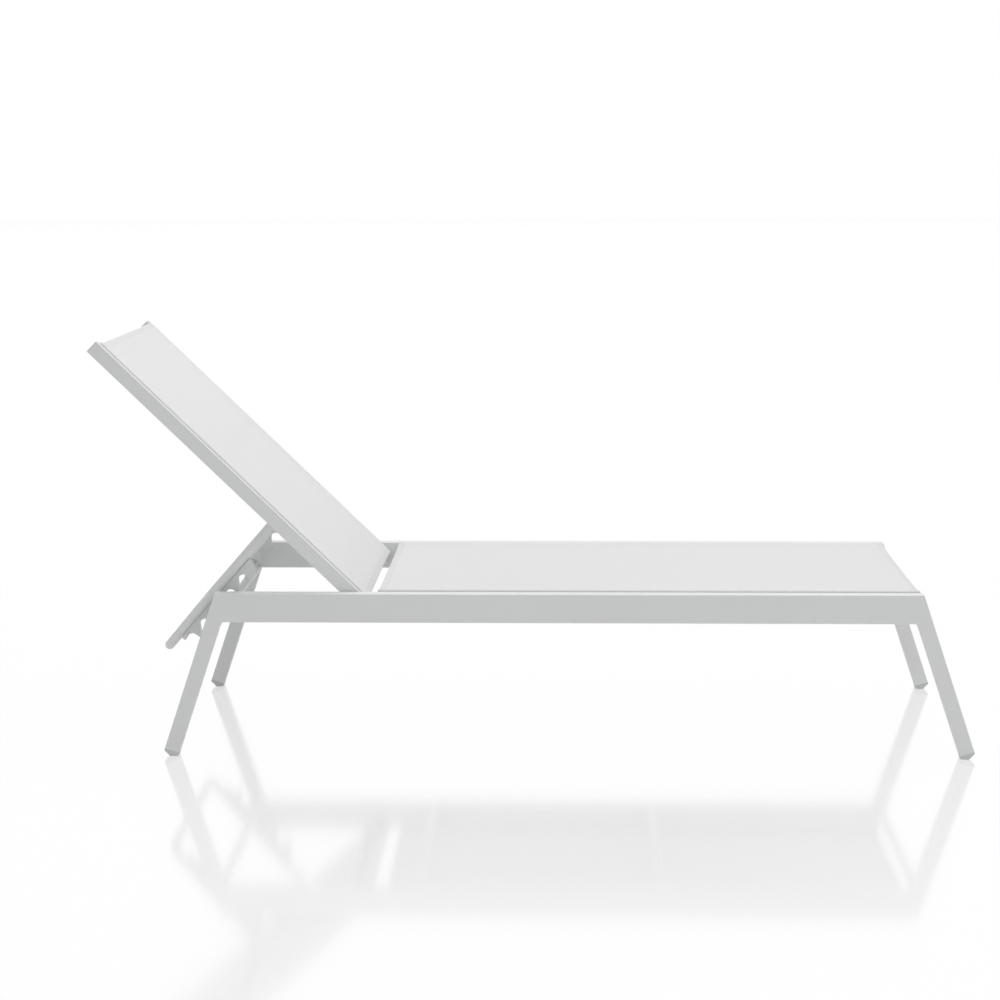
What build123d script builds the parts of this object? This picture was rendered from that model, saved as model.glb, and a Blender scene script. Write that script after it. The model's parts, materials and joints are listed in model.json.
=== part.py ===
from build123d import *
import os
from math import cos, sin, tan, radians

# Sun lounger with an adjustable back, at real size in millimetres.
# +X runs from the head end to the foot end, +Y to the left of a person lying on it, +Z up.
# The shapes are drawn with x = 0 in the middle of the side frames, then moved so that the
# origin is the middle of the whole lounger's footprint, on the floor.

# Side frames: a rail on two splayed legs
frame_length = 1510.0        # between the upper outer corners
frame_width = 710.0          # over the outer faces of both side rails
frame_height = 356.0         # floor to the top of the rails
rail_high = 62.0
rail_wide = 30.0
leg_wide = 32.0
leg_splay = 18.5             # degrees from upright
tube_wall = 2.0
tube_corner = 1.5            # outer corner radius of the square tubes

# Feet: a glide with a level sole in each leg
leg_cut_high = 17.0          # height of the leg's square end at its outer edge
toe_high = 13.0              # where the glide's toe starts to slope in
toe_slope = 12.5             # how far the slope runs in
sole_long = 17.0
heel_high = 5.0
plug_long = 22.0
plug_play = 0.2
leg_spare = 60.0             # a leg is drawn this much longer at both ends, then cut
cut_extra = 1.0              # cutters run this far past the faces that they cut

# Round cross tubes: two between the rails and one between each pair of legs, with x and z
cross_radius = 10.0
cross_wall = 2.0
cross_places = {"head_cross_tube": (-754.0, 291.0), "hinge_cross_tube": (-328.0, 306.0),
                "middle_cross_tube": (202.0, 306.0), "foot_cross_tube": (754.0, 291.0)}

# Seat channels: the profile on each rail that holds the edge of the fabric
seat_head = -405.0
seat_foot = 749.0
channel_wide = 14.0
channel_drop = 1.0           # its top lies this far below the top of the rail
channel_block = 12.0
flange_thick = 3.0
flange_high = 10.0
groove_radius = 3.6
groove_deep = 5.0            # centre of the groove below the channel's top
slit_wide = 2.4
screw_count = 6
screw_radius = 2.0
screw_play = 0.05            # the screw holes are this much wider in radius
screw_head_radius = 4.0
screw_head_high = 2.4
screw_long = 13.0

# Fabric and its edge rods
fabric_thick = 1.2
fabric_over = 2.0            # the fabric runs this far past each end of its channels
fabric_crest = 3.0           # beside its slit the fabric's upper face stands this far above the rail
fabric_level = -4.0          # its upper face between the edges, from the top of the rail
crest_bend = 3.5
fall_long = 55.0             # it falls from crest to level over this distance
fall_bend = 250.0
rod_radius = 3.0
rod_gap = 0.1                # between a rod and the end of the fabric's tab

# Back: two extruded rails, turning inside the side frames
back_angle = 44.2            # degrees above level, resting in the third notch
hinge_x = -457.0
hinge_low = 5.5              # the hinge lies this far below the back rail's middle line
back_deep = 29.0
back_wide = 26.0
side_gap = 2.5               # between a side rail and a back rail
back_above = 775.0           # rail length from the hinge to its upper end
back_below = 22.0            # and to its lower end
cap_thick = 3.0
cap_chamfer = 1.5
lip_wide = 14.0              # the full height part of the back rail's section
lip_drop = 1.0               # the step beside it lies this far lower
back_groove_in = 19.5        # from the rail's outer face
back_web = 3.0               # wall between the section's two rooms
groove_wall = 1.0            # wall under its groove
back_fabric_low = -21.0      # ends of the fabric, from the hinge along the back
back_fabric_high = 770.0
back_tube_wide = 30.0
back_tube_high = 12.0
back_tube_low = -14.0        # lower face, from the rail's middle line
back_tube_places = {"back_bottom_tube": 62.0, "back_middle_tube": 432.0, "back_top_tube": 738.0}

# Hinge and pivot hardware, for M8 bolts
bolt_radius = 4.0
bolt_head_radius = 7.0
bolt_head_high = 4.5
key_radius = 2.5
key_deep = 2.6
running_play = 0.06
insert_radius = 5.5
insert_long = 11.5
bush_radius = 6.0
bush_flange_radius = 9.0
bush_gap = 0.4
bolt_short = 1.0             # the prop's bolts end this far short of their inserts' ends

# Prop: a bent round tube with a notched rack under each arm
prop_from_hinge = 237.5
prop_middle = -6.5           # height of the pivot from the back rail's middle line
prop_angle = 48.9            # degrees below level, pointing to the head end
prop_in = 70.0               # arm's middle line, from the outer face of the side rail
prop_radius = 10.0
prop_wall = 1.5
prop_long = 366.0            # from the pivot to the middle line of the cross piece
prop_bend = 30.0
prop_tail = 11.0             # tube past the pivot
plug_rim = 2.0
plug_round = 1.6
plug_gap = 1.0               # between the plug's stem and the bush

# Pins on the side rails that the racks rest on
pin_x = -756.0
pin_z = 312.0
pin_radius = 10.0
pin_reach = 83.0             # inner end, from the outer face of the side rail

# Racks
rack_wide = 22.0
web_wide = 18.0
notch_count = 5
pin_notch = 2                # the notch in use, counted from the lower end
notch_pitch = 43.0
notch_radius = 12.5
rack_rest_gap = 0.3
tooth_deep = 40.5            # tooth tips, from the arm's middle line
notch_reach = 50.0
notch_hook = 8.0             # lean of a notch's outer side, in degrees, holding the pin in
notch_lean = 0.10            # pivot side of a notch, run per unit of depth
saddle_top = 8.5             # the saddle's upper edge, below the arm's middle line
saddle_deep = 11.5
saddle_play = 0.1
lip_long = 13.0
lip_round = 2.0
end_lip_deep = 18.5
rack_low_end = 327.0
rack_high_end = 97.0
nose_start = 8.0             # the web's upper end slopes back in two steps, this far along
nose_end = 14.0
shoulder_past = 3.0          # full depth of the web past the middle of the lowest notch
ear_long = 16.0              # ears on the inner flank take the rivets
ear_top = -5.0
ear_out = 12.1               # outer face, in from the arm's middle line
rivet_places = (120.0, 208.0, 300.0)
rivet_radius = 2.0
rivet_grip = 6.0
rivet_head_radius = 4.0
rivet_head_high = 1.2

# Worked out from the sizes above
half_width = frame_width / 2
half_length = frame_length / 2
slope = tan(radians(leg_splay))
leg_level_wide = leg_wide / cos(radians(leg_splay))
hinge_z = frame_height - back_deep / 2 - hinge_low
back_tilt = radians(back_angle)
back_in = rail_wide + side_gap
back_inner = back_in + back_wide
back_length = back_above + cap_thick
tip_z = hinge_low - back_deep / 2 + cap_chamfer
tip_x = hinge_x - back_length * cos(back_tilt) + tip_z * sin(back_tilt)
toe_x = half_length + (frame_height - toe_high) * slope
shift_x = -(tip_x + toe_x) / 2
hinge = Location((hinge_x, 0, hinge_z), (0, back_angle, 0))
back = hinge * Pos(0, 0, hinge_low)
prop_high = hinge_low + prop_middle
pivot_x = hinge_x - prop_from_hinge * cos(back_tilt) + prop_high * sin(back_tilt)
pivot_z = hinge_z + prop_from_hinge * sin(back_tilt) + prop_high * cos(back_tilt)
pivot = Location((pivot_x, 0, pivot_z), (0, -prop_angle, 0))


def save(name, shape):
    """Write one piece, moved to the lounger's own origin."""
    shape = Pos(shift_x, 0, 0) * shape
    export_step(shape, f"parts/{name}.step")


def save_pair(name, shape):
    """Write the right piece, drawn on the -Y side, and its mirror image on the left."""
    save(name + "_right", shape)
    save(name + "_left", mirror(shape, about=Plane.XZ))


def inward(distance):
    """y of a place on the right side, measured in from the outer face of the side rail."""
    return distance - half_width


def crossways(radius, start, end, x, z):
    """Round bar along Y, between two distances in from the outer face of the side rail."""
    return Pos(x, inward((start + end) / 2), z) * Rot(90, 0, 0) * Cylinder(radius, end - start)


def square_tube(wide, high, length):
    """Hollow rectangular tube along local Z from 0, wide along X and high along Y."""
    outside = RectangleRounded(wide, high, tube_corner)
    inside = Rectangle(wide - 2 * tube_wall, high - 2 * tube_wall)
    return extrude(outside - inside, length)


def outer_x(z):
    """x of the head leg's outer edge at a height."""
    return -half_length - (frame_height - z) * slope


def prism(points, start, end):
    """Solid with an outline in X and Z, between two distances in from the side rail's face."""
    outline = make_face(Polyline([(x, inward(start), z) for x, z in points], close=True))
    return extrude(outline, end - start, dir=(0, 1, 0))


# Side rails and legs, mitred where they meet
corner_low_z = frame_height - rail_high
corner_low_x = outer_x(corner_low_z) + leg_level_wide
mitre_run = corner_low_x + half_length
mitre = Plane(origin=(-half_length, 0, frame_height), x_dir=(0, 1, 0), z_dir=(-rail_high, 0, -mitre_run))
mitre_foot = Plane(origin=(half_length, 0, frame_height), x_dir=(0, 1, 0), z_dir=(rail_high, 0, -mitre_run))


def side_rail():
    start = Plane(origin=(-half_length, 0, 0), x_dir=(0, 1, 0), z_dir=(1, 0, 0))
    rail = start * square_tube(rail_wide, rail_high, frame_length)
    rail = Pos(0, inward(rail_wide / 2), frame_height - rail_high / 2) * rail
    rail = split(rail, bisect_by=mitre, keep=Keep.BOTTOM)
    rail = split(rail, bisect_by=mitre_foot, keep=Keep.BOTTOM)
    inner_wall = (rail_wide - 2 * tube_wall, rail_wide + cut_extra)
    rail -= crossways(insert_radius, *inner_wall, hinge_x, hinge_z)
    rail -= crossways(insert_radius, *inner_wall, pin_x, pin_z)
    for x in screw_line():
        rail -= crossways(screw_radius + screw_play, *inner_wall, x, screw_z)
    return rail


def plain_leg():
    """Leg at the head end. The foot leg is its mirror image, and only the head leg takes a pin."""
    top_z = frame_height + leg_spare
    middle_x = outer_x(top_z) + leg_level_wide / 2
    down = (-sin(radians(leg_splay)), 0, -cos(radians(leg_splay)))
    top = Plane(origin=(middle_x, inward(rail_wide / 2), top_z), x_dir=(0, 1, 0), z_dir=down)
    leg = top * square_tube(rail_wide, leg_wide, frame_height + 2 * leg_spare)
    leg = split(leg, bisect_by=mitre, keep=Keep.TOP)
    foot = Plane(origin=(outer_x(leg_cut_high), 0, leg_cut_high), x_dir=(0, 1, 0), z_dir=down)
    return split(leg, bisect_by=foot, keep=Keep.BOTTOM)


def glide():
    """Plastic foot: a plug in the leg and a shoe with a sloped toe and a level sole."""
    across = (leg_wide * cos(radians(leg_splay)), -leg_wide * sin(radians(leg_splay)))
    cut = (outer_x(leg_cut_high), leg_cut_high)
    toe = (outer_x(toe_high), toe_high)
    sole = toe[0] + toe_slope
    heel = outer_x(heel_high) + leg_level_wide
    shoe = prism([cut, toe, (sole, 0), (sole + sole_long, 0), (heel, heel_high),
                  (cut[0] + across[0], cut[1] + across[1])], 0, rail_wide)
    middle = (cut[0] + across[0] / 2, inward(rail_wide / 2), cut[1] + across[1] / 2)
    up = (sin(radians(leg_splay)), 0, cos(radians(leg_splay)))
    seat = Plane(origin=middle, x_dir=(0, 1, 0), z_dir=up)
    hole = 2 * (tube_wall + plug_play)
    plug = seat * extrude(RectangleRounded(rail_wide - hole, leg_wide - hole, tube_corner), plug_long)
    return shoe + plug


# Seat channels, their screws, the rods in them and the seat fabric
channel_top = frame_height - channel_drop
seat_groove_in = rail_wide + channel_wide / 2
screw_z = channel_top - channel_block - flange_high / 2


def screw_line():
    """x of each channel screw."""
    step = (seat_foot - seat_head) / screw_count
    return [seat_head + step * (i + 0.5) for i in range(screw_count)]


def edge_section(half_span, top):
    """Fabric between two slits: it rises out of each slit, bends over and falls to its level.

    y runs across the lounger and z up, and top is the height of the rail that holds the slit.
    """
    crest = top + fabric_crest - fabric_thick / 2
    level = top + fabric_level - fabric_thick / 2
    low = top - channel_drop - groove_deep + rod_radius + rod_gap
    points = [(-half_span, low), (-half_span, crest), (fall_long - half_span, level),
              (half_span - fall_long, level), (half_span, crest), (half_span, low)]
    bends = [crest_bend, fall_bend, fall_bend, crest_bend]
    return trace(FilletPolyline(*points, radius=bends), fabric_thick)


def seat_channel():
    start = Plane(origin=(seat_head, inward(rail_wide), channel_top), x_dir=(0, 1, 0), z_dir=(1, 0, 0))
    block = Pos(channel_wide / 2, -channel_block / 2) * Rectangle(channel_wide, channel_block)
    flange = Pos(flange_thick / 2, -channel_block - flange_high / 2) * Rectangle(flange_thick, flange_high)
    groove = Pos(channel_wide / 2, -groove_deep) * Circle(groove_radius)
    slit = Pos(channel_wide / 2, -groove_deep / 2) * Rectangle(slit_wide, groove_deep)
    section = block + flange - groove - slit
    channel = start * extrude(section, seat_foot - seat_head)
    for x in screw_line():
        hole = (rail_wide - cut_extra, rail_wide + flange_thick + cut_extra)
        channel -= crossways(screw_radius + screw_play, *hole, x, screw_z)
    return channel


def seat_screws():
    """Pan head screws, a group of separate solids."""
    seat = rail_wide + flange_thick
    screws = Part()
    for x in screw_line():
        shank = crossways(screw_radius, seat - screw_long, seat, x, screw_z)
        head = crossways(screw_head_radius, seat, seat + screw_head_high, x, screw_z)
        screws += shank + head
    return screws


def seat_rod():
    length = seat_foot - seat_head
    place = Pos((seat_head + seat_foot) / 2, inward(seat_groove_in), channel_top - groove_deep)
    return place * Rot(0, 90, 0) * Cylinder(rod_radius, length)


def seat_sling():
    start = Plane(origin=(seat_head - fabric_over, 0, 0), x_dir=(0, 1, 0), z_dir=(1, 0, 0))
    section = edge_section(half_width - seat_groove_in, frame_height)
    return start * extrude(section, seat_foot - seat_head + 2 * fabric_over)


def cross_tube(x, z):
    """Round tube welded between the inner faces of both side frames."""
    span = (rail_wide, frame_width - rail_wide)
    return crossways(cross_radius, *span, x, z) - crossways(cross_radius - cross_wall, *span, x, z)


# Back, drawn level with its middle line at z = 0 and the rails towards -X, then tilted
def back_section():
    """Back rail's section: y in from its outer face, z up from its middle line."""
    half = back_deep / 2
    lip = Pos(lip_wide / 2, 0) * Rectangle(lip_wide, back_deep)
    step = Pos(back_wide / 2, -lip_drop / 2) * Rectangle(back_wide, back_deep - lip_drop)
    outside = lip + step
    outer_room = Pos((tube_wall + lip_wide - back_web) / 2, 0)
    outside -= outer_room * Rectangle(lip_wide - tube_wall - back_web, back_deep - 2 * tube_wall)
    room_top = half - lip_drop - groove_deep - groove_radius - groove_wall
    room_low = tube_wall - half
    inner_room = Pos((lip_wide + back_wide - tube_wall) / 2, (room_top + room_low) / 2)
    outside -= inner_room * Rectangle(back_wide - lip_wide - tube_wall, room_top - room_low)
    groove_z = half - lip_drop - groove_deep
    outside -= Pos(back_groove_in, groove_z) * Circle(groove_radius)
    return outside - Pos(back_groove_in, groove_z + groove_deep / 2) * Rectangle(slit_wide, groove_deep)


def back_rail():
    start = Plane(origin=(back_below, inward(back_in), 0), x_dir=(0, 1, 0), z_dir=(-1, 0, 0))
    section = mirror(back_section(), about=Plane.XZ)
    rail = start * extrude(section, back_above + back_below)
    rail -= crossways(bush_radius, back_in - cut_extra, back_inner + cut_extra, 0, -hinge_low)
    pivot_hole = (back_inner - 2 * tube_wall, back_inner + cut_extra)
    rail -= crossways(insert_radius, *pivot_hole, -prop_from_hinge, prop_middle)
    return back * rail


def back_cap(end_x, outwards):
    """Flat plastic cap on the end of a back rail, with a chamfered rim."""
    middle = Pos(end_x + outwards * cap_thick / 2, inward(back_in + back_wide / 2), 0)
    plate = Box(cap_thick, back_wide, back_deep)
    rim = plate.faces().sort_by(Axis.X)[-1 if outwards > 0 else 0].edges()
    plate = chamfer(rim, cap_chamfer)
    step = Box(2 * cap_thick, back_wide - lip_wide, lip_drop)
    plate -= Pos(0, lip_wide / 2, back_deep / 2 - lip_drop / 2) * step
    return back * middle * plate


def back_tube(distance):
    inside = frame_width - 2 * back_inner
    place = (-distance, -inside / 2, back_tube_low + back_tube_high / 2)
    start = Plane(origin=place, x_dir=(1, 0, 0), z_dir=(0, 1, 0))
    return back * (start * square_tube(back_tube_wide, back_tube_high, inside))


def back_rod():
    height = back_deep / 2 - lip_drop - groove_deep
    place = Pos((back_below - back_above) / 2, inward(back_in + back_groove_in), height)
    return back * place * Rot(0, 90, 0) * Cylinder(rod_radius, back_above + back_below)


def back_sling():
    start = Plane(origin=(-back_fabric_high, 0, 0), x_dir=(0, 1, 0), z_dir=(1, 0, 0))
    half_span = half_width - back_in - back_groove_in
    section = edge_section(half_span, back_deep / 2)
    return back * (start * extrude(section, back_fabric_high - back_fabric_low))


# Hardware. Each bolt is screwed inwards, with its head on the side of the middle
def insert(face, x, z):
    """Threaded insert, flush with an inner face."""
    body = crossways(insert_radius, face - insert_long, face, x, z)
    return body - crossways(bolt_radius, face - insert_long - cut_extra, face + cut_extra, x, z)


def bolt(start, head, x, z):
    """M8 bolt with a button head and a hexagonal key socket."""
    shank = crossways(bolt_radius, start, head, x, z)
    cap = crossways(bolt_head_radius, head, head + bolt_head_high, x, z)
    crown = cap.edges().filter_by(GeomType.CIRCLE).sort_by(Axis.Y)[-1]
    cap = fillet(crown, bolt_head_high / 2)
    face = Plane(origin=(x, inward(head + bolt_head_high), z), x_dir=(1, 0, 0), z_dir=(0, -1, 0))
    key = face * extrude(RegularPolygon(key_radius, 6, major_radius=False), key_deep)
    return shank + cap - key


def bush(outer, inner, flange, seat, flange_long, length, x, z):
    """Flanged sleeve: its flange is on the outer side of the face it sits on."""
    body = crossways(outer, seat, seat + length, x, z)
    body += crossways(flange, seat - flange_long, seat, x, z)
    return body - crossways(inner, seat - flange_long - cut_extra, seat + length + cut_extra, x, z)


# Prop, drawn level with the pivot at its origin and the arms towards -X, then turned down
prop_half = half_width - prop_in
notch_centre_gap = notch_radius - pin_radius - rack_rest_gap
notch_world = (pin_x - pivot_x, pin_z - notch_centre_gap - pivot_z)
arm_down = radians(prop_angle)
notch_along = -notch_world[0] * cos(arm_down) - notch_world[1] * sin(arm_down)
notch_deep = notch_world[0] * sin(arm_down) - notch_world[1] * cos(arm_down)
notches = [notch_along + notch_pitch * (pin_notch - i) for i in range(notch_count)]


def prop_path():
    """Middle line of the bent tube, from one upper end round to the other."""
    near, far = -prop_half, prop_half
    points = [(prop_tail, near, 0), (-prop_long, near, 0), (-prop_long, far, 0), (prop_tail, far, 0)]
    return FilletPolyline(*points, radius=prop_bend)


def prop_tube():
    path = prop_path()
    ring = Circle(prop_radius) - Circle(prop_radius - prop_wall)
    section = Plane(origin=path @ 0, z_dir=path % 0) * ring
    tube = sweep(section, path=path)
    for side in (-1, 1):
        across = 2 * (prop_radius + cut_extra)
        tube -= Pos(0, side * prop_half, 0) * Rot(90, 0, 0) * Cylinder(bush_radius, across)
    for along in rivet_places:
        hole = rivet_bar(rivet_radius, along, 0, prop_radius)
        tube -= hole
        tube -= mirror(hole, about=Plane.XZ)
    return pivot * tube


def prop_plug():
    """Domed plastic plug in the upper end of an arm."""
    inner = prop_radius - prop_wall - plug_play
    stem_long = prop_tail - bush_radius - plug_gap
    stem = Pos(prop_tail - stem_long / 2, inward(prop_in), 0) * Rot(0, 90, 0) * Cylinder(inner, stem_long)
    rim = Pos(prop_tail + plug_rim / 2, inward(prop_in), 0) * Rot(0, 90, 0) * Cylinder(prop_radius, plug_rim)
    rim = fillet(rim.edges().filter_by(GeomType.CIRCLE).sort_by(Axis.X)[-1], plug_round)
    return pivot * (stem + rim)


def rack_plate(points, wide):
    """Slab of the rack: points give distance along the arm and depth below its middle line."""
    start = inward(prop_in - wide / 2)
    outline = make_face(Polyline([(-along, start, -deep) for along, deep in points], close=True))
    return extrude(outline, wide, dir=(0, 1, 0))


def notch(centre):
    """Room for the pin: a round seat that opens downwards when the lounger stands."""
    outer = arm_down - radians(notch_hook)
    left = (centre + notch_radius * cos(outer), notch_deep - notch_radius * sin(outer))
    mouth_far = left[0] + (notch_reach - left[1]) * tan(outer)
    mouth_near = centre - notch_radius - notch_lean * (notch_reach - notch_deep)
    mouth = [(centre, notch_deep), (centre - notch_radius, notch_deep), (mouth_near, notch_reach),
             (mouth_far, notch_reach), left]
    seat = Pos(-centre, inward(prop_in), -notch_deep) * Rot(90, 0, 0) * Cylinder(notch_radius, rack_wide)
    return seat + rack_plate(mouth, rack_wide)


def rack():
    shoulder = notches[0] + shoulder_past
    web_end = rack_low_end - lip_round
    web = rack_plate([(rack_high_end, saddle_top), (rack_high_end + nose_start, tooth_deep - nose_start),
                      (rack_high_end + nose_end, tooth_deep), (shoulder, tooth_deep),
                      (shoulder, end_lip_deep), (web_end, end_lip_deep),
                      (web_end, saddle_top)], web_wide)
    for centre in notches:
        web -= notch(centre)
    saddle = rack_plate([(rack_high_end, saddle_top), (rack_low_end, saddle_top),
                         (rack_low_end, saddle_deep), (rack_high_end, saddle_deep)], rack_wide)
    lip = rack_plate([(rack_low_end - lip_long, saddle_top), (rack_low_end, saddle_top),
                      (rack_low_end, end_lip_deep), (rack_low_end - lip_long, end_lip_deep)], rack_wide)
    outer_edges = lip.edges().filter_by(Axis.Y).sort_by(Axis.X)[:2]
    lip = fillet(outer_edges.sort_by(Axis.Z)[0], lip_round) - notch(notches[0])
    solid = web + saddle + lip
    for along in rivet_places:
        ear_wide = ear_out - prop_radius / 2
        ear = Box(ear_long, ear_wide, saddle_deep - ear_top)
        solid += Pos(-along, inward(prop_in + ear_out - ear_wide / 2), -(saddle_deep + ear_top) / 2) * ear
    tube_room = Pos(-prop_long / 2, inward(prop_in), 0) * Rot(0, 90, 0)
    solid -= tube_room * Cylinder(prop_radius + saddle_play, prop_long)
    for along in rivet_places:
        solid -= rivet_bar(rivet_radius, along, 0, ear_out + cut_extra)
    return pivot * solid


def rivet_bar(radius, along, start, end):
    """Round bar along Y at a rivet's place, between two distances from the arm's middle line."""
    return crossways(radius, prop_in + start, prop_in + end, -along, 0)


def rack_rivets():
    """Blind rivets through the rack's ears into the tube, a group of separate solids."""
    rivets = Part()
    for along in rivet_places:
        shank = rivet_bar(rivet_radius, along, prop_radius - rivet_grip, ear_out)
        head = rivet_bar(rivet_head_radius, along, ear_out, ear_out + rivet_head_high)
        rivets += shank + head
    return pivot * rivets


os.makedirs("parts", exist_ok=True)

save_pair("side_rail", side_rail())
leg = plain_leg()
shoe = glide()
pin_hole = crossways(insert_radius, rail_wide - 2 * tube_wall, rail_wide + cut_extra, pin_x, pin_z)
save_pair("head_leg", leg - pin_hole)
save_pair("foot_leg", mirror(leg, about=Plane.YZ))
save_pair("head_glide", shoe)
save_pair("foot_glide", mirror(shoe, about=Plane.YZ))
for name, (x, z) in cross_places.items():
    save(name, cross_tube(x, z))

save_pair("seat_channel", seat_channel())
save_pair("seat_screws", seat_screws())
save_pair("seat_rod", seat_rod())
save("seat_sling", seat_sling())

save_pair("back_rail", back_rail())
save_pair("back_top_cap", back_cap(-back_above, -1))
save_pair("back_bottom_cap", back_cap(back_below, 1))
save_pair("back_rod", back_rod())
for name, distance in back_tube_places.items():
    save(name, back_tube(distance))
save("back_sling", back_sling())

hinge_head = back_inner + bush_gap
save_pair("hinge_insert", insert(rail_wide, hinge_x, hinge_z))
save_pair("hinge_bolt", bolt(rail_wide - insert_long, hinge_head, hinge_x, hinge_z))
hinge_flange = side_gap - bush_gap
hinge_bush = bush(bush_radius, bolt_radius + running_play, bush_flange_radius,
                  back_in, hinge_flange, back_wide, 0, 0)
save_pair("hinge_bush", hinge * hinge_bush)

save_pair("support_insert", insert(rail_wide, pin_x, pin_z))
save_pair("support_bolt", bolt(rail_wide - insert_long, pin_reach, pin_x, pin_z))
pin_sleeve = crossways(pin_radius, rail_wide, pin_reach, pin_x, pin_z)
pin_bore = crossways(bolt_radius, rail_wide - cut_extra, pin_reach + cut_extra, pin_x, pin_z)
save_pair("support_pin", pin_sleeve - pin_bore)

prop_outer = prop_in - prop_radius
prop_head = prop_in + prop_radius + bush_gap
save_pair("prop_insert", back * insert(back_inner, -prop_from_hinge, prop_middle))
prop_bolt = bolt(back_inner - insert_long + bolt_short, prop_head, -prop_from_hinge, prop_middle)
save_pair("prop_bolt", back * prop_bolt)
prop_flange = prop_outer - back_inner - bush_gap
prop_bush = bush(bush_radius, bolt_radius + running_play, bush_flange_radius,
                 prop_outer, prop_flange, 2 * prop_radius, 0, 0)
save_pair("prop_bush", pivot * prop_bush)

save("prop_tube", prop_tube())
save_pair("prop_plug", prop_plug())
save_pair("rack", rack())
save_pair("rack_rivets", rack_rivets())

print("shift", shift_x, "hinge", hinge_x + shift_x, hinge_z)
print("pivot", pivot_x + shift_x, pivot_z, "pin", pin_x + shift_x, pin_z)
print("notch along the arm", notch_along, "below it", notch_deep)
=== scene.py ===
# %% [markdown]
# # Sun lounger with a sling seat
#
# The real lounger is a welded aluminium frame with a powder coat. Two sheets of coated mesh
# are stretched between its rails, and a notched prop holds the hinged back. The construction
# is a fixed model of rigid pieces at real size, made in a CAD program, because bores and
# joints need exact sizes. This script dresses it: it gives each rigid piece its finish, hangs
# the two sheets of cloth, sews them, and adds the weld beads.

# %% Load the frame
import json
from math import cos, exp, pi, radians, sin

import bmesh
import bpy
from mathutils import Matrix, Vector, noise


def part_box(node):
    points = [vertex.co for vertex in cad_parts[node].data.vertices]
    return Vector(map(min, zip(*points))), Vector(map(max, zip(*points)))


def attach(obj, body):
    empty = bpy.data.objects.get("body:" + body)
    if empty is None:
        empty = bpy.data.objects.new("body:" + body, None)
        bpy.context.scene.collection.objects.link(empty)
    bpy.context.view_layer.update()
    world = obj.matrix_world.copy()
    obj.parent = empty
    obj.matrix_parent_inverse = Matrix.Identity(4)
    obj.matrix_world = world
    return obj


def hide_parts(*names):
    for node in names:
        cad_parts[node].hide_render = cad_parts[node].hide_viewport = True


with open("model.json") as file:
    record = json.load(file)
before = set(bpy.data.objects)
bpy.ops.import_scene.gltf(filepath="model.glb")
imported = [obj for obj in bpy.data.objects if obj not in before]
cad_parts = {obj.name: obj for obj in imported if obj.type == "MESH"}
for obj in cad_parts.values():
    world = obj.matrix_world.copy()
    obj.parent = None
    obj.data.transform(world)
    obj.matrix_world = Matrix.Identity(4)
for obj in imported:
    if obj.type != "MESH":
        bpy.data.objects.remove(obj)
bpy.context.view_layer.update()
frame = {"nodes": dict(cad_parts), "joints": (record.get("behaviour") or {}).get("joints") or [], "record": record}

nodes = frame["nodes"]

# %% [markdown]
# ## Small helpers
#
# Blender works in linear light, but colours are given as sRGB values, so one function
# turns a hex colour to linear. Another adds a shader node with its settings and links, so that
# a material reads from top to bottom like a recipe.

# %% Colours and nodes
mm = 0.001


def linear(hex_colour):
    """Linear RGBA of an sRGB colour such as "#e4e5e6"."""
    parts = [int(hex_colour[i:i + 2], 16) / 255 for i in (1, 3, 5)]
    return [p / 12.92 if p <= 0.04045 else ((p + 0.055) / 1.055) ** 2.4 for p in parts] + [1.0]


def add(tree, kind, inputs=(), **settings):
    """Add a node. Each input is (socket, value), where a value may be another node's output."""
    node = tree.nodes.new(kind)
    for name, value in settings.items():
        setattr(node, name, value)
    for socket, value in inputs:
        if isinstance(value, bpy.types.NodeSocket):
            tree.links.new(value, node.inputs[socket])
        else:
            node.inputs[socket].default_value = value
    return node


def new_material(name, **sockets):
    """A material with its Principled shader's own sockets set, spaces written as underscores."""
    made = bpy.data.materials.new(name)
    made.use_nodes = True
    shader = made.node_tree.nodes["Principled BSDF"]
    for socket, value in sockets.items():
        shader.inputs[socket.replace("_", " ")].default_value = value
    return made, made.node_tree, shader


print("helpers ready")

# %% [markdown]
# ## Powder-coated aluminium
#
# The frame is extruded aluminium under a pale grey powder coat: a polymer skin about 0.08 mm
# thick, baked on, so it is a satin plastic surface and not a metal one. Powder levels out into
# a faint orange peel. One flat colour would look like paper, and an image of the coat would
# stretch on the long tubes, so the coat is worked out from noise in the object's coordinates.
# Its real waves are about 1.5 mm long. That is finer than the render can show from five
# metres, so they are drawn 3 mm long and shallow. A slow change of tone over about 0.3 m
# stands for the coat's uneven thickness.

# %% Powder coat
peel_wave = 3.0 * mm
tone_wave = 0.3
peel_depth = 0.05 * mm
bump_strength = 0.35


def coat_nodes(tree, shader, light, dark, wave, depth):
    """Slow change between two tones, and fine waves in the surface."""
    place = add(tree, "ShaderNodeTexCoord").outputs["Object"]
    slow = add(tree, "ShaderNodeTexNoise", [("Vector", place), ("Scale", 1 / tone_wave), ("Detail", 1.0)])
    tone = add(tree, "ShaderNodeMix",
               [("Factor", slow.outputs["Fac"]), ("A", linear(light)), ("B", linear(dark))], data_type="RGBA")
    tree.links.new(tone.outputs["Result"], shader.inputs["Base Color"])
    waves = add(tree, "ShaderNodeTexNoise", [("Vector", place), ("Scale", 1 / wave), ("Detail", 2.0)])
    bump = add(tree, "ShaderNodeBump",
               [("Height", waves.outputs["Fac"]), ("Strength", bump_strength), ("Distance", depth)])
    tree.links.new(bump.outputs["Normal"], shader.inputs["Normal"])


powder_coat, tree, shader = new_material("powder_coated_aluminium", Roughness=0.42, IOR=1.5)
coat_nodes(tree, shader, "#eaebeb", "#e5e6e6", peel_wave, peel_depth)
print("material", powder_coat.name)

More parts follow.
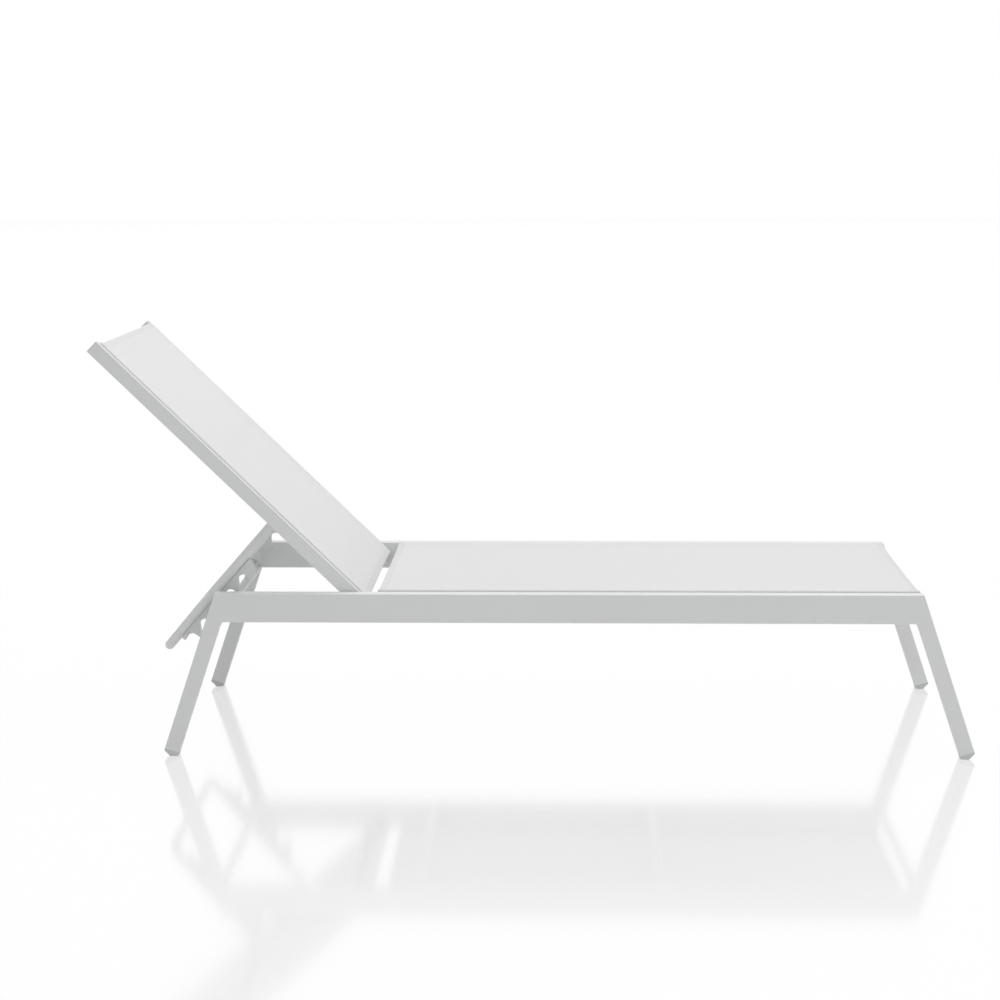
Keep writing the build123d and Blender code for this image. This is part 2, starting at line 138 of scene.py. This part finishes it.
# %% [markdown]
# ## Moulded plastics
#
# The end caps, foot glides, racks, bushes and pins are injection moulded. A mould is spark
# eroded to a fine matt grain, real size about 0.3 mm, which the plastic copies. The grain is
# drawn at 1.5 mm, as coarse as a close view needs. Grain could be its own set of nodes, but it
# is only a finer peel, so the coat's function makes it. The caps match the frame, the glides
# are a greyer nylon, and the racks and pins are an unpainted pale nylon with a soft gloss.

# %% Caps, glides, racks and rods
grain = 1.5 * mm
grain_depth = 0.03 * mm
plastics = {}
for name, light, dark, rough in (("moulded_polypropylene_cap", "#e2e3e3", "#dcdddd", 0.5),
                                 ("moulded_nylon_glide", "#d3d5d6", "#cbcdce", 0.55),
                                 ("moulded_nylon_rack", "#e3e4e4", "#dcdddd", 0.4),
                                 ("extruded_pvc_rod", "#e6e6e4", "#e0e0de", 0.35)):
    plastics[name], tree, shader = new_material(name, Roughness=rough, IOR=1.52)
    coat_nodes(tree, shader, light, dark, grain, grain_depth)
print("materials", ", ".join(plastics))

# %% [markdown]
# ## Stainless steel and bare aluminium
#
# Bolts and screws are stainless steel, and blind rivets are drawn aluminium, softer and a
# little brighter. Both are bare metal, so they keep the default IOR. Tools leave fine
# scratches on them, real size about 0.1 mm, drawn 0.6 mm apart so that they show. They could
# be cut into the mesh, but a bolt head is a few pixels wide, so a noise that is drawn out
# along the bolt's length changes the roughness alone.

# %% Metals
scratch_step = 0.6 * mm
scratch_stretch = 0.1
smoother, rougher = 0.08, 0.1    # how far the scratches take the roughness down and up
metals = {}
for name, colour, rough in (("turned_stainless_steel", "#b9b8b5", 0.3),
                            ("drawn_aluminium_rivet", "#cfd0d1", 0.38)):
    metals[name], tree, shader = new_material(name, Metallic=1.0)
    shader.inputs["Base Color"].default_value = linear(colour)
    place = add(tree, "ShaderNodeTexCoord").outputs["Object"]
    drawn = add(tree, "ShaderNodeMapping", [("Vector", place), ("Scale", (1.0, scratch_stretch, 1.0))])
    scratches = add(tree, "ShaderNodeTexNoise",
                    [("Vector", drawn.outputs["Vector"]), ("Scale", 1 / scratch_step), ("Detail", 2.0)])
    spread = add(tree, "ShaderNodeMapRange", [("Value", scratches.outputs["Fac"]),
                                              ("To Min", rough - smoother), ("To Max", rough + rougher)])
    tree.links.new(spread.outputs["Result"], shader.inputs["Roughness"])
print("materials", ", ".join(metals))

# %% [markdown]
# ## Coated mesh cloth
#
# The slings are polyester yarn in a white vinyl coat, woven flat and welded by heat, so yarns
# stand up as rounded ridges that pass over and under each other. Real yarns lie about 1.4 mm
# apart. From where the photographer stands that is under one pixel, so the weave is drawn
# 3.6 mm apart, and shallow. It could be modelled yarn by yarn, which would take millions of
# faces, so sine waves in the shader draw it instead. They follow the cloth's own map, which is
# in metres on the flat cloth, so the weave stays square where the cloth bends. An open mesh
# lets light through: the photo's floor shows the seat's underside bright, so a seventh of the
# light passes on. Where the cloth is doubled, at hems, less passes, and it looks a little
# greyer.

# %% Mesh cloth
yarn_step = 3.6 * mm
yarn_depth = 0.35 * mm
hole_edge, yarn_edge = 0.1, 0.5    # heights of a ridge where a hole ends and where full yarn starts
light_through, light_through_hem = 0.15, 0.08
sling_mesh, tree, shader = new_material("vinyl_coated_polyester_mesh", Roughness=0.6, IOR=1.5)
flat_place = add(tree, "ShaderNodeUVMap", uv_map="flat_cloth").outputs["UV"]
turns = add(tree, "ShaderNodeVectorMath", [(0, flat_place), (1, (pi / yarn_step,) * 3)], operation="MULTIPLY")
parts = add(tree, "ShaderNodeSeparateXYZ", [(0, turns.outputs[0])])
across = add(tree, "ShaderNodeMath", [(0, parts.outputs["X"])], operation="SINE").outputs[0]
along = add(tree, "ShaderNodeMath", [(0, parts.outputs["Y"])], operation="SINE").outputs[0]
warp = add(tree, "ShaderNodeMath", [(0, across)], operation="ABSOLUTE").outputs[0]
weft = add(tree, "ShaderNodeMath", [(0, along)], operation="ABSOLUTE").outputs[0]
crossing = add(tree, "ShaderNodeMath", [(0, across), (1, along)], operation="MULTIPLY").outputs[0]
warp_on_top = add(tree, "ShaderNodeMath", [(0, crossing), (1, 0.0)], operation="GREATER_THAN").outputs[0]
ridge = add(tree, "ShaderNodeMix", [("Factor", warp_on_top), ("A", weft), ("B", warp)], data_type="FLOAT")
ridge = ridge.outputs["Result"]
# Painted shade: where neither yarn covers, the gaps of the weave get a darker grey, #d2d2d2, for the shade seen
# through the open mesh; the yarns themselves are #f3f3f3.
painted_gap_shade_mask = add(tree, "ShaderNodeMath", [(0, warp), (1, weft)], operation="MAXIMUM").outputs[0]
yarn = add(tree, "ShaderNodeMapRange", [("Value", painted_gap_shade_mask), ("From Min", hole_edge),
                                        ("From Max", yarn_edge)])
bare = add(tree, "ShaderNodeMix", [("Factor", yarn.outputs["Result"]), ("A", linear("#d2d2d2")),
                                   ("B", linear("#f3f3f3"))], data_type="RGBA")
doubled = add(tree, "ShaderNodeAttribute", attribute_name="doubled").outputs["Fac"]
# Painted shade: where the cloth is doubled, at the hems, its colour is a flat #e9e9e9, a little greyer than the
# open weave, for the dimmer light that comes through the double layer. This colour carries the painted gap shade
# too.
cloth_colour_with_painted_shade = add(tree, "ShaderNodeMix", [("Factor", doubled), ("A", bare.outputs["Result"]),
                                     ("B", linear("#e9e9e9"))], data_type="RGBA")
tree.links.new(cloth_colour_with_painted_shade.outputs["Result"], shader.inputs["Base Color"])
bump = add(tree, "ShaderNodeBump", [("Height", ridge), ("Strength", 0.4), ("Distance", yarn_depth)])
tree.links.new(bump.outputs["Normal"], shader.inputs["Normal"])
let_through = add(tree, "ShaderNodeMix",
                  [("Factor", doubled), ("A", light_through), ("B", light_through_hem)], data_type="FLOAT")
glow = add(tree, "ShaderNodeBsdfTranslucent", [("Color", cloth_colour_with_painted_shade.outputs["Result"])])
lit_cloth = add(tree, "ShaderNodeMixShader",
                [(0, let_through.outputs["Result"]), (1, shader.outputs[0]), (2, glow.outputs[0])])
tree.links.new(lit_cloth.outputs[0], tree.nodes["Material Output"].inputs["Surface"])

thread_twist = 1.0 * mm
twist_depth = 0.1 * mm
sewing_thread, tree, shader = new_material("bonded_polyester_thread", Roughness=0.7, IOR=1.5)
coat_nodes(tree, shader, "#e3e4e3", "#d8d9d8", thread_twist, twist_depth)
print("materials", sling_mesh.name, sewing_thread.name)

# %% [markdown]
# ## Finish the rigid pieces
#
# On the real lounger a piece has its finish before it is fitted. Each rigid piece names its
# kind of material, so one table gives every kind its finish, which is shorter than a list of
# pieces and misses none. Only the material changes: the shape and place stay as they are.

# %% Give every rigid piece its finish
finishes = {
    "frame_aluminium": powder_coat,
    "cap_plastic": plastics["moulded_polypropylene_cap"],
    "glide_plastic": plastics["moulded_nylon_glide"],
    "rack_plastic": plastics["moulded_nylon_rack"],
    "rod_plastic": plastics["extruded_pvc_rod"],
    "bolt_steel": metals["turned_stainless_steel"],
    "rivet_aluminium": metals["drawn_aluminium_rivet"],
    "sling_fabric": sling_mesh,
}
for row in frame["record"]["subparts"]:
    for held in nodes[row["node"]].material_slots:
        held.material = finishes[row["material_slot"]]

# %% [markdown]
# ## Where the cloth hangs
#
# The cloth's place is read from the frame wherever a piece's box shows it, so it can't drift
# from the frame. The seat's slits are in the middle of the seat channels, and the back's slits
# are over the back's edge rods. The back is tilted about the hinge, so no box shows its own
# sizes, and they stand here as values. Its cloth is drawn level and then turned with one
# matrix, which is simpler than working out every tilted point.

# %% Places taken from the frame
back_angle = radians(44.2)
rod_radius = 3.0 * mm
rod_low = 6.0 * mm           # middle of the edge rods, below the top of their rail
hinge_to_back_top = 20.0 * mm    # square to the back, up to the top of its rails
back_top_end = 770.0 * mm    # ends of the cloth, from the hinge along the back
back_low_end = 21.0 * mm
cloth_over = 2.0 * mm        # cloth past each end of the seat channels

rail_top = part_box("side_rail_right")[1].z
channel_low, channel_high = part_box("seat_channel_left")
rod_start, rod_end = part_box("back_rod_left")
seat_slit = (channel_low.y + channel_high.y) / 2
back_slit = (rod_start.y + rod_end.y) / 2
hinge = Vector(frame["joints"][0]["pos_m"])
back_place = (Matrix.Translation(hinge) @ Matrix.Rotation(back_angle, 4, "Y")
              @ Matrix.Translation((0, 0, hinge_to_back_top)))
seat_place = Matrix.Translation((0, 0, rail_top))
print("seat slit", round(seat_slit, 4), "back slit", round(back_slit, 4), "rail top", round(rail_top, 4))

# %% [markdown]
# ## The cloth's section
#
# A cloth simulation would find the same shape each time, because the cloth is stretched tight,
# so the section is drawn instead. From its end the cloth goes round the rod, up through the
# slit and over a small crest, where its sewn edge stands proud of the rail, and then eases
# down to its level. The list runs from one end of the cloth to the middle, as (y, z) with
# z = 0 at the top of the rail.

# %% Section of a sling, from the rod to the middle
cloth_thick = 0.7 * mm
crest_high = 3.0 * mm
crest_bend = 3.5 * mm
level_low = 3.6 * mm
middle_low = 0.9 * mm        # further sag at the middle
ease_long = 30.0 * mm        # the fall from the crest fades out over this distance
wrap_open = radians(30)      # the part of a rod that the sleeve leaves bare
slit_lean = radians(12)      # where on the rod the cloth leaves it, from straight up
crest_turn = radians(103)    # how far the cloth turns over its crest
wrap_steps, crest_steps, ease_steps = 14, 8, 24
ease_crowd = 1.6             # above 1, the points of the fall crowd towards its steep end


def half_section(slit):
    """Points (y, z) from the end of the cloth, round the rod and over the crest, to the middle."""
    wrap = rod_radius + cloth_thick / 2
    turns = [-2 * pi + wrap_open + (2 * pi - wrap_open - slit_lean) * i / wrap_steps
             for i in range(wrap_steps + 1)]
    points = [Vector((slit + wrap * sin(a), wrap * cos(a) - rod_low)) for a in turns]
    bend_y = points[-1].x - crest_bend
    bend_z = crest_high - cloth_thick / 2 - crest_bend
    rise = points[-1]
    points += [rise.lerp(Vector((rise.x, bend_z)), share) for share in (0.3, 0.65)]
    turns = [crest_turn * i / crest_steps for i in range(crest_steps + 1)]
    points += [Vector((bend_y + crest_bend * cos(a), bend_z + crest_bend * sin(a))) for a in turns]
    start = points[-1]
    fall = start.y + level_low
    for i in range(1, ease_steps + 1):
        y = start.x * (1 - i / ease_steps) ** ease_crowd
        ease = exp((y - start.x) / ease_long)
        sag = middle_low * (1 - (y / start.x) ** 2)
        points.append(Vector((y, fall * ease - level_low - sag)))
    return points


def whole_section(slit):
    half = half_section(slit)
    return half + [Vector((-p.x, p.y)) for p in reversed(half[:-1])]


def line_length(points):
    return sum((b - a).length for a, b in zip(points, points[1:]))


section = whole_section(seat_slit)
print(len(section), "points across, flat width", round(line_length(section), 3), "m")

# %% [markdown]
# ## The cloth along its length
#
# Each end is a hem: the cloth folds under itself and is sewn down. A thicker strip would give
# the same outline, but no fold at its end, so the fold is drawn. The line along the cloth
# holds the distance along the lounger and the depth under the upper face, so the fold is a
# half circle. The seam draws the cloth in by a fraction of a millimetre.

# %% Line along a sling, hem to hem
hem_long = 16.0 * mm
fold_radius = 0.8 * mm
seam_in = 12.5 * mm          # the seam, from the fold
seam_half = 1.5 * mm         # half the width of the dip that the seam draws in
seam_dip = 0.25 * mm
hem_step = 5.0 * mm          # between points on the hem's hidden layer
top_step = 4.0 * mm          # and between points on its upper layer
hem_rest = 2.0 * mm          # the upper layer is plain this far past the hem's hidden edge
station_step = 9.0 * mm      # about this far between points over the rest of the cloth


def hem_line(end, inward):
    """Points (x, depth) of one hem, from its hidden edge round the fold to past the seam."""
    under = [(hem_long - hem_step * i, 2 * fold_radius) for i in range(3)]
    fold = [(fold_radius - fold_radius * sin(a), fold_radius + fold_radius * cos(a))
            for a in [pi * i / 6 for i in range(7)]]
    over = [(top_step, 0.0), (2 * top_step, 0.0), (seam_in - seam_half, 0.0), (seam_in, seam_dip),
            (seam_in + seam_half, 0.0), (hem_long + hem_rest, 0.0)]
    return [Vector((end + inward * x, depth)) for x, depth in under + fold + over]


def length_line(start, end):
    """Points (x, depth) of a whole sling, from one hem's hidden edge to the other's."""
    head = hem_line(start, 1)
    foot = hem_line(end, -1)
    first, last = head[-1].x, foot[-1].x
    steps = int((last - first) / station_step)
    middle = [Vector((first + (last - first) * i / steps, 0.0)) for i in range(1, steps)]
    return head + middle + foot[::-1]


line = length_line(channel_low.x - cloth_over, channel_high.x + cloth_over)
print(len(line), "points along, flat length", round(line_length(line), 3), "m")

# %% [markdown]
# ## Hang a sling
#
# The cloth starts as a flat grid, one vertex for each pair of points. Its map keeps where each
# vertex lies on the flat cloth. Then every vertex moves to its place, the depth of the hem
# going square to the section. A real stretched sheet is never quite even, so a slow noise
# lifts it by a third of a millimetre. The sheet could be drawn with two faces, but they would
# have to be kept apart by hand, so the Solidify modifier gives it its thickness.

# %% Make one sling
ripple_long = 0.22
ripple_high = 0.35 * mm
held_share = 0.3             # share of the ripple and of the hem's depth that is left at a rail


def section_normals(points):
    """Upward normals of a section drawn from +Y to -Y."""
    found = []
    for i, p in enumerate(points):
        along_line = points[min(i + 1, len(points) - 1)] - points[max(i - 1, 0)]
        found.append(Vector((along_line.y, -along_line.x)).normalized())
    return found


def travelled(points):
    """Distance from the first point to each point, along the line."""
    sums = [0.0]
    for a, b in zip(points, points[1:]):
        sums.append(sums[-1] + (b - a).length)
    return sums


def make_sling(name, place, slit, start, end):
    """One sheet of cloth between two slits, and its flat size."""
    points, stations = whole_section(slit), length_line(start, end)
    normals = section_normals(points)
    across, along = travelled(points), travelled(stations)
    bm = bmesh.new()
    map_layer = bm.loops.layers.uv.new("flat_cloth")
    doubled_layer = bm.verts.layers.float.new("doubled")
    bmesh.ops.create_grid(bm, x_segments=len(stations) - 1, y_segments=len(points) - 1, size=0.5)
    for face in bm.faces:
        for corner in face.loops:
            i = round((corner.vert.co.x + 0.5) * (len(stations) - 1))
            j = round((corner.vert.co.y + 0.5) * (len(points) - 1))
            corner[map_layer].uv = (across[j], along[i])
    for vert in bm.verts:
        i = round((vert.co.x + 0.5) * (len(stations) - 1))
        j = round((vert.co.y + 0.5) * (len(points) - 1))
        station, point, normal = stations[i], points[j], normals[j]
        from_end = min(station.x - start, end - station.x)
        vert[doubled_layer] = 1.0 if from_end < seam_in else 0.0
        free = 1.0 if abs(point.x) < slit - crest_bend else held_share
        y, z = point - normal * station.y * free
        ripple = ripple_high * noise.noise(Vector((station.x, y, 0.0)) / ripple_long) * free
        vert.co = place @ Vector((station.x, y, z + ripple))
    bmesh.ops.recalc_face_normals(bm, faces=bm.faces)
    mesh = bpy.data.meshes.new(name)
    bm.to_mesh(mesh)
    bm.free()
    mesh.shade_smooth()
    sling = bpy.data.objects.new(name, mesh)
    bpy.context.scene.collection.objects.link(sling)
    mesh.materials.append(sling_mesh)
    shell = sling.modifiers.new("cloth thickness", "SOLIDIFY")
    shell.thickness = cloth_thick
    shell.offset = 0.0
    print(name, len(mesh.vertices), "vertices, flat", round(across[-1], 3), "by", round(along[-1], 3), "m")
    return sling, (across[-1], along[-1])


seat_cloth, seat_flat = make_sling("seat_sling_cloth", seat_place, seat_slit,
                                   channel_low.x - cloth_over, channel_high.x + cloth_over)
back_cloth, back_flat = make_sling("back_sling_cloth", back_place, back_slit, -back_top_end, back_low_end)

# %% [markdown]
# ## Sewing
#
# Hems and edge sleeves are sewn with thick bonded thread in stitches about 4 mm long. Each
# stitch shows as a small rounded bar lying on the cloth, so a stitch is one low sphere, drawn
# out along the seam, and a loop lays hundreds of them. Weld beads later use the same function,
# because a welder also leaves a row of drops.

# %% Rows of small drops
group = 50                   # drops made at a time, because adding to a long mesh is slow


def add_drops(bm, rows, size):
    """Add drops along lines: rows hold (position, direction, up), and size is length, width, height."""
    for position, direction, up in rows:
        side = up.cross(direction).normalized()
        turn = Matrix((side, up.normalized(), direction.normalized())).transposed().to_4x4()
        shape = Matrix.Diagonal((size[1] / 2, size[2] / 2, size[0] / 2, 1.0))
        bmesh.ops.create_uvsphere(bm, u_segments=6, v_segments=4, radius=1.0,
                                  matrix=Matrix.Translation(position) @ turn @ shape)


def drops_object(name, rows, size, finish):
    mesh = bpy.data.meshes.new(name)
    whole = bmesh.new()
    for first in range(0, len(rows), group):
        few = bmesh.new()
        add_drops(few, rows[first:first + group], size)
        few.to_mesh(mesh)
        few.free()
        whole.from_mesh(mesh)
    whole.to_mesh(mesh)
    whole.free()
    mesh.shade_smooth()
    mesh.materials.append(finish)
    made = bpy.data.objects.new(name, mesh)
    bpy.context.scene.collection.objects.link(made)
    print(name, len(rows), "drops")
    return made


# %% Seams of a sling
stitch = (3.1 * mm, 0.7 * mm, 0.5 * mm)
stitch_step = 4.0 * mm
sleeve_seam = 14.0 * mm      # from the slit
edge_points = 20             # points in the sleeve and the slit, which no seam crosses


def on_section(points, normals, y):
    """Place and normal on the section at a distance from the middle."""
    for i in range(edge_points + 1, len(points) - edge_points):
        a, b = points[i], points[i + 1]
        if b.x <= y < a.x:
            share = (a.x - y) / (a.x - b.x)
            return a.lerp(b, share), normals[i].lerp(normals[i + 1], share).normalized()
    raise ValueError(y)


def sling_seams(place, slit, start, end):
    """Rows of stitches along both hems and both sleeves."""
    points = whole_section(slit)
    normals = section_normals(points)
    turn = place.to_3x3()
    lift = cloth_thick / 2
    rows = []
    edge = slit - sleeve_seam
    steps = int(2 * edge / stitch_step)
    for x in (start + seam_in, end - seam_in):
        for i in range(steps + 1):
            point, normal = on_section(points, normals, -edge + 2 * edge * i / steps)
            raised = point + normal * (lift - seam_dip)
            rows.append((place @ Vector((x, raised.x, raised.y)), turn @ Vector((0, 1, 0)),
                         turn @ Vector((0, normal.x, normal.y))))
    steps = int((end - start) / stitch_step)
    for y in (-edge, edge):
        point, normal = on_section(points, normals, y)
        raised = point + normal * lift
        for i in range(1, steps):
            x = start + (end - start) * i / steps
            rows.append((place @ Vector((x, raised.x, raised.y)), turn @ Vector((1, 0, 0)),
                         turn @ Vector((0, normal.x, normal.y))))
    return rows


seat_rows = sling_seams(seat_place, seat_slit, channel_low.x - cloth_over, channel_high.x + cloth_over)
back_rows = sling_seams(back_place, back_slit, -back_top_end, back_low_end)
seat_seams = drops_object("seat_sling_seams", seat_rows, stitch, sewing_thread)
back_seams = drops_object("back_sling_seams", back_rows, stitch, sewing_thread)

# %% [markdown]
# ## Weld beads
#
# The cross tubes are welded to the rails all round, by hand, and the powder coat goes over the
# beads. A smooth ring would look like a moulded collar. A bead is instead a row of overlapping
# drops, about 4 mm long and 2.4 mm apart, along the edge of the tube's end.

# %% Beads round the ends of the cross tubes
bead = (4.2 * mm, 3.6 * mm, 3.6 * mm)
bead_step = 2.4 * mm
ring_points = 30             # points on the outline of a round tube
back_tube_wide, back_tube_high = 30.0 * mm, 12.0 * mm


def bead_ring(place, outline, y, side):
    """Drops along a closed outline in X and Z, at one end of a tube."""
    rows = []
    for (x0, z0), (x1, z1) in zip(outline, outline[1:] + outline[:1]):
        a, b = Vector((x0, y, z0)), Vector((x1, y, z1))
        count = max(1, round((b - a).length / bead_step))
        for i in range(count):
            point = a.lerp(b, i / count)
            rows.append((place @ point, place.to_3x3() @ (b - a).normalized(), Vector((0, -side, 0))))
    return rows


def tube_beads(names, outline, tilt):
    """Beads round both ends of tubes that run across the lounger, tilted about Y."""
    rows = []
    for name in names:
        low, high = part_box(name)
        middle = Matrix.Translation(((low.x + high.x) / 2, 0, (low.z + high.z) / 2))
        place = middle @ Matrix.Rotation(tilt, 4, "Y")
        rows += bead_ring(place, outline, low.y, -1) + bead_ring(place, outline, high.y, 1)
    return rows


low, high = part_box("head_cross_tube")
cross_radius = (high.x - low.x) / 2
round_turns = [2 * pi * i / ring_points for i in range(ring_points)]
round_end = [(cross_radius * cos(a), cross_radius * sin(a)) for a in round_turns]
flat_end = [(x * back_tube_wide / 2, z * back_tube_high / 2) for x, z in ((-1, -1), (1, -1), (1, 1), (-1, 1))]
frame_tubes = ("head_cross_tube", "hinge_cross_tube", "middle_cross_tube", "foot_cross_tube")
back_tubes = ("back_bottom_tube", "back_middle_tube", "back_top_tube")
frame_welds = drops_object("frame_weld_beads", tube_beads(frame_tubes, round_end, 0.0), bead, powder_coat)
back_welds = drops_object("back_weld_beads", tube_beads(back_tubes, flat_end, back_angle), bead, powder_coat)

# %% [markdown]
# ## What moves with what
#
# The frame stands still. The back and everything on it turns about the hinge, so the back's
# cloth, seams and welds ride on the back. Each cloth takes the place of the plain sheet that
# the construction has for it. The pieces could be made children of the back one by one, but
# naming their body does it for every pose at once.

# %% Ride and replace
for piece in (seat_cloth, seat_seams, frame_welds):
    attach(piece, "frame")
for piece in (back_cloth, back_seams, back_welds):
    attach(piece, "backrest")
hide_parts("seat_sling")
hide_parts("back_sling")
print("pieces ride on their bodies")

# %% [markdown]
# ## Floor, light and camera
#
# The photo is a plain studio shot: a white floor with a weak gloss, a broad soft light high
# above, and darker sides. A world of one pale tone and one large area lamp give that. A floor
# lit until it is white would light the lounger too strongly. Instead, for rays that the
# camera, gloss or glass sends, floor and world are nearly white, so the background stays clean
# while the floor keeps the lounger's soft shadow.

# %% Floor
def background_ray(tree):
    """1 for rays that show the background: from the camera, by gloss or through glass."""
    path = add(tree, "ShaderNodeLightPath").outputs
    seen = add(tree, "ShaderNodeMath", [(0, path["Is Camera Ray"]), (1, path["Is Glossy Ray"])],
               operation="MAXIMUM").outputs[0]
    return add(tree, "ShaderNodeMath", [(0, seen), (1, path["Is Transmission Ray"])],
               operation="MAXIMUM").outputs[0]


near_white = 0.97            # share of plain white in what a background ray sees near the lounger
shade_from, shade_to = 1.2, 5.0    # metres from the middle over which that share rises to one
gloss_gain = 1.4             # the studio floor mirrors more strongly than plain varnish
gloss_rough = 0.1
floor_finish, tree, shader = new_material("studio_floor", Roughness=0.85, Specular_IOR_Level=0.0)
shader.inputs["Base Color"].default_value = linear("#f6f6f6")
place = add(tree, "ShaderNodeTexCoord").outputs["Object"]
far = add(tree, "ShaderNodeVectorMath", [(0, place)], operation="LENGTH").outputs["Value"]
plain = add(tree, "ShaderNodeMapRange",
            [("Value", far), ("From Min", shade_from), ("From Max", shade_to), ("To Min", near_white)],
            interpolation_type="SMOOTHSTEP")
white = add(tree, "ShaderNodeEmission", [("Color", linear("#ffffff")), ("Strength", 1.0)])
share = add(tree, "ShaderNodeMath", [(0, background_ray(tree)), (1, plain.outputs["Result"])],
            operation="MULTIPLY")
pale = add(tree, "ShaderNodeMixShader",
           [(0, share.outputs[0]), (1, shader.outputs[0]), (2, white.outputs[0])])
gloss = add(tree, "ShaderNodeBsdfGlossy", [("Color", linear("#ffffff")), ("Roughness", gloss_rough)])
varnish = add(tree, "ShaderNodeFresnel", [("IOR", 1.45)])
mirror = add(tree, "ShaderNodeMath", [(0, varnish.outputs[0]), (1, gloss_gain)],
             operation="MULTIPLY", use_clamp=True)
floor_mix = add(tree, "ShaderNodeMixShader",
                [(0, mirror.outputs[0]), (1, pale.outputs[0]), (2, gloss.outputs[0])])
tree.links.new(floor_mix.outputs[0], tree.nodes["Material Output"].inputs["Surface"])

floor_reach = 40.0
bm = bmesh.new()
bmesh.ops.create_grid(bm, x_segments=1, y_segments=1, size=floor_reach)
floor_mesh = bpy.data.meshes.new("studio_floor")
bm.to_mesh(floor_mesh)
bm.free()
floor_mesh.materials.append(floor_finish)
floor = bpy.data.objects.new("studio_floor", floor_mesh)
bpy.context.scene.collection.objects.link(floor)
print("floor laid")

# %% World and lamp
world = bpy.data.worlds.new("studio")
bpy.context.scene.world = world
world.use_nodes = True
tree = world.node_tree
backdrop = tree.nodes["Background"]
ambient = 0.43               # light from all around, where 1 is white
strength = add(tree, "ShaderNodeMapRange", [("Value", background_ray(tree)), ("To Min", ambient)])
tree.links.new(strength.outputs["Result"], backdrop.inputs["Strength"])
backdrop.inputs["Color"].default_value = linear("#ffffff")

soft_box = bpy.data.lights.new("soft_box", "AREA")
soft_box.shape = "RECTANGLE"
soft_box.size, soft_box.size_y = 5.0, 4.0
soft_box.energy = 82.0
lamp = bpy.data.objects.new("soft_box", soft_box)
lamp.location = (0.5, 0.2, 3.4)
lamp_aim = Vector((0, 0, 0.4))
lamp.rotation_euler = (lamp_aim - lamp.location).to_track_quat("-Z", "Y").to_euler()
bpy.context.scene.collection.objects.link(lamp)
print("lamp at", tuple(round(v, 2) for v in lamp.location))

# %% Camera
# The place and turns come from the photo's perspective: over five metres off, at chest height.
camera_data = bpy.data.cameras.new("camera")
camera_data.sensor_width = 36.0
camera_data.lens = 86.4
camera = bpy.data.objects.new("camera", camera_data)
camera_place = Vector((0.0830, -5.3756, 1.2935))
turn, tip, roll = radians(1.728), radians(-8.316), radians(0.169)
camera.matrix_world = (Matrix.Translation(camera_place) @ Matrix.Rotation(turn, 4, "Z")
                       @ Matrix.Rotation(tip, 4, "X") @ Matrix.Rotation(roll, 4, "Y")
                       @ Matrix.Rotation(radians(90), 4, "X"))
bpy.context.scene.collection.objects.link(camera)
bpy.context.scene.camera = camera
bpy.context.scene.view_settings.view_transform = "Standard"
print("camera at", tuple(round(v, 3) for v in camera.location))
